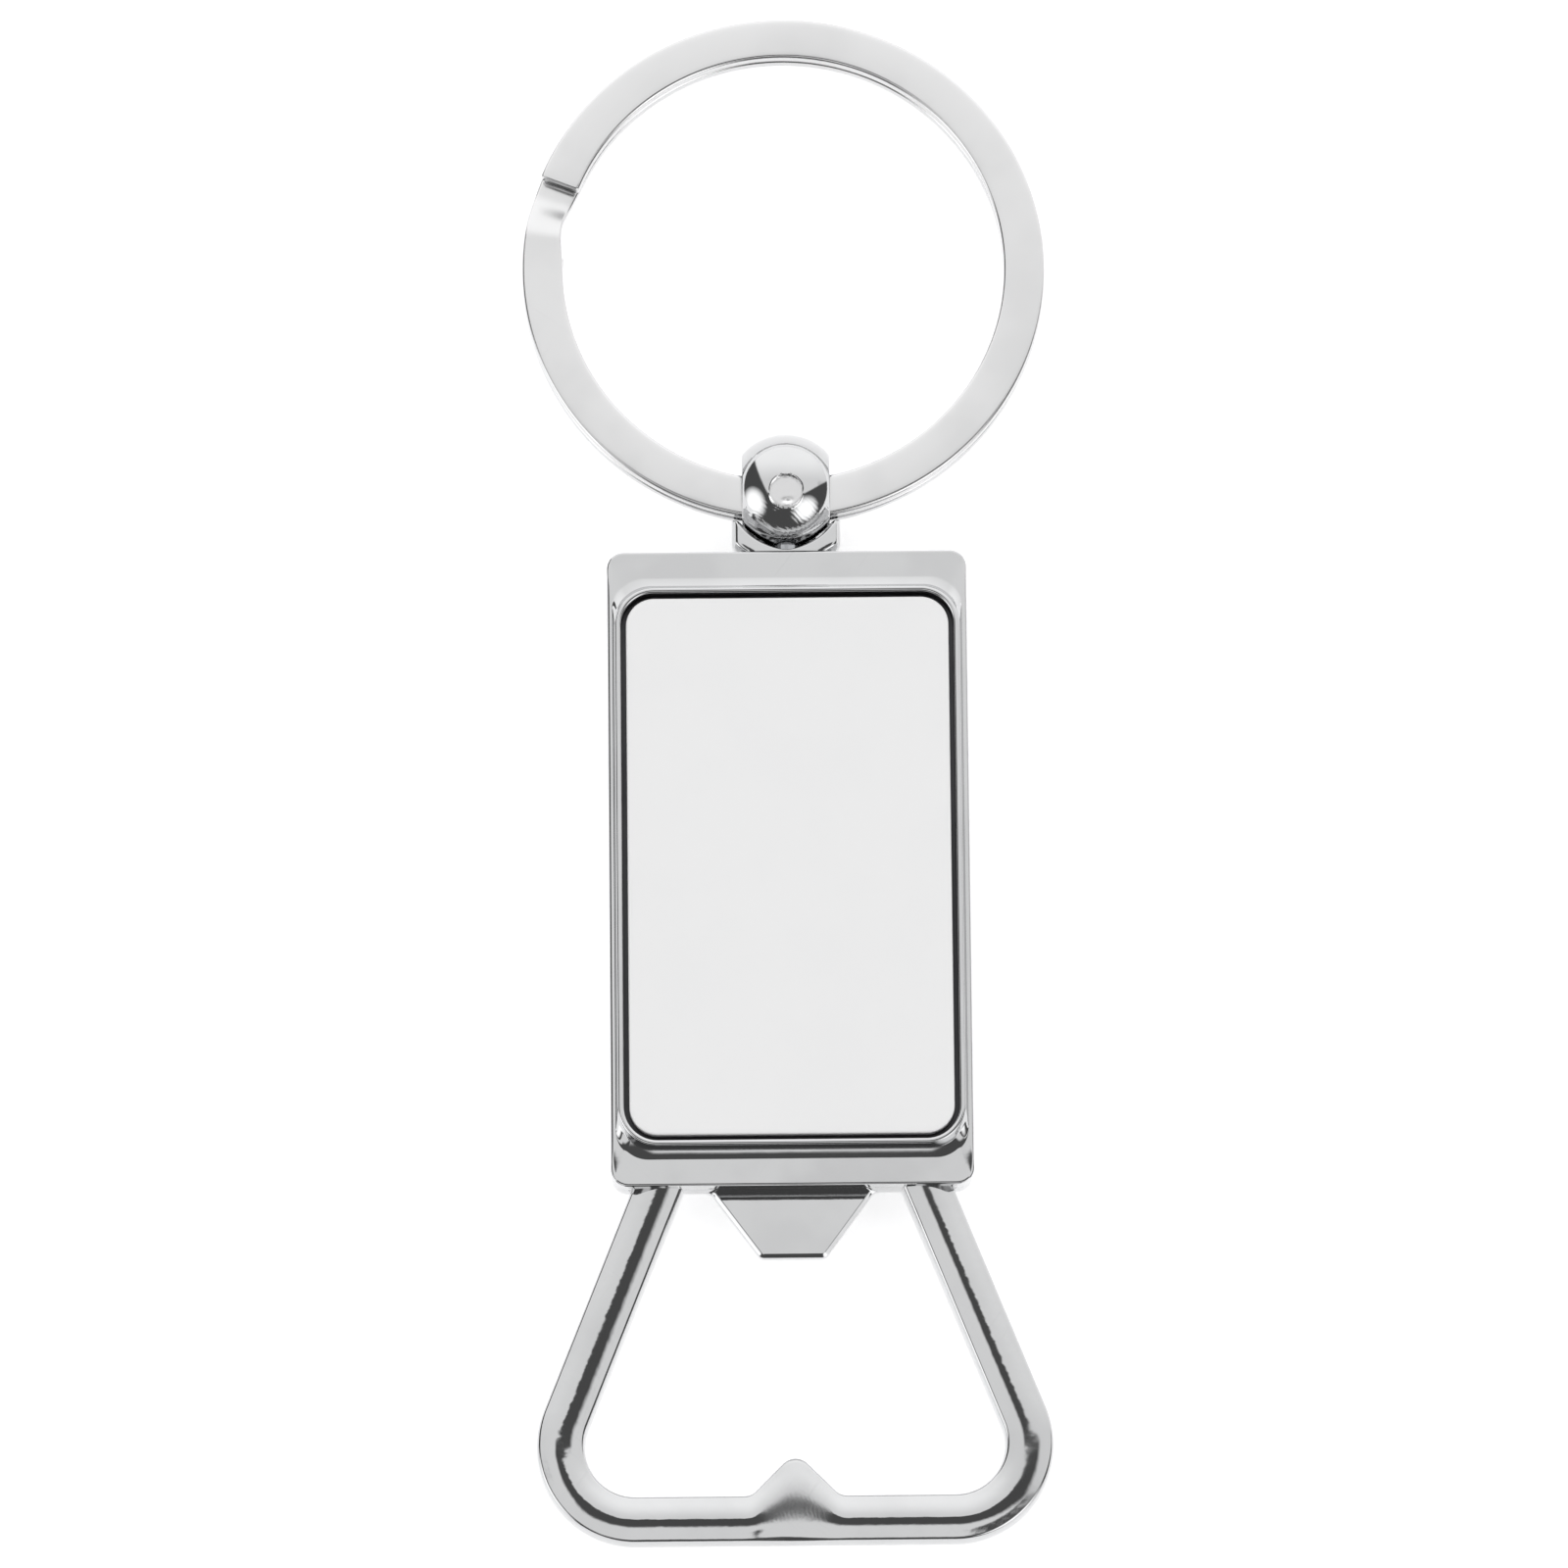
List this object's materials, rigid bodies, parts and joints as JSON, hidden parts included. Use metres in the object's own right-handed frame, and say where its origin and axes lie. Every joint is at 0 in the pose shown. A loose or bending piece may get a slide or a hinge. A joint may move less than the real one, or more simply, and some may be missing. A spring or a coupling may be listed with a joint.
{
  "type": "keychain bottle opener",
  "caption": "Chrome keychain bottle opener: slab body with a framed cover plate, flared opener loop with tooth and tab, ball swivel and split ring.",
  "frame": {"origin": "middle of the flat back of the body", "axes": "+Z out of the front face, +Y from the body towards the key ring, +X to the right seen from the front"},
  "size_m": [0.03, 0.0886, 0.0066],
  "materials": {
    "back_casting": "bright nickel-chrome plate on a zinc die-casting, soft cast ripple, fine scratches",
    "front_bezel": "bright nickel-chrome plate on a zinc die-casting",
    "insert_plate": "white satin coating on aluminium sheet",
    "adhesive_pad": "acrylic adhesive film",
    "swivel_collar": "bright nickel-chrome plate",
    "swivel_ball": "polished nickel-chrome plate with a shallow press mark",
    "swivel_pin": "turned steel",
    "pin_washer": "stamped brass",
    "split_ring": "satin-bright nickel-plated spring steel"
  },
  "bodies": {
    "opener": {"back_casting": "back_casting", "front_bezel": "front_bezel", "insert_plate": "insert_plate", "adhesive_pad": "adhesive_pad", "swivel_collar": "swivel_collar"},
    "swivel": {"swivel_ball": "swivel_ball", "swivel_pin": "swivel_pin", "pin_washer": "pin_washer"},
    "key_ring": {"split_ring": "split_ring"}
  },
  "joints": [
    {"name": "swivel_turn", "type": "hinge", "parent": "opener", "child": "swivel", "pos_m": [0, 0.02203, 0.0018], "axis": [0, 1, 0], "continuous": true},
    {"name": "ring_swing", "type": "hinge", "parent": "swivel", "child": "key_ring", "pos_m": [0, 0.02203, 0.0018], "axis": [1, 0, 0], "range_deg": [-120, 125]}
  ]
}
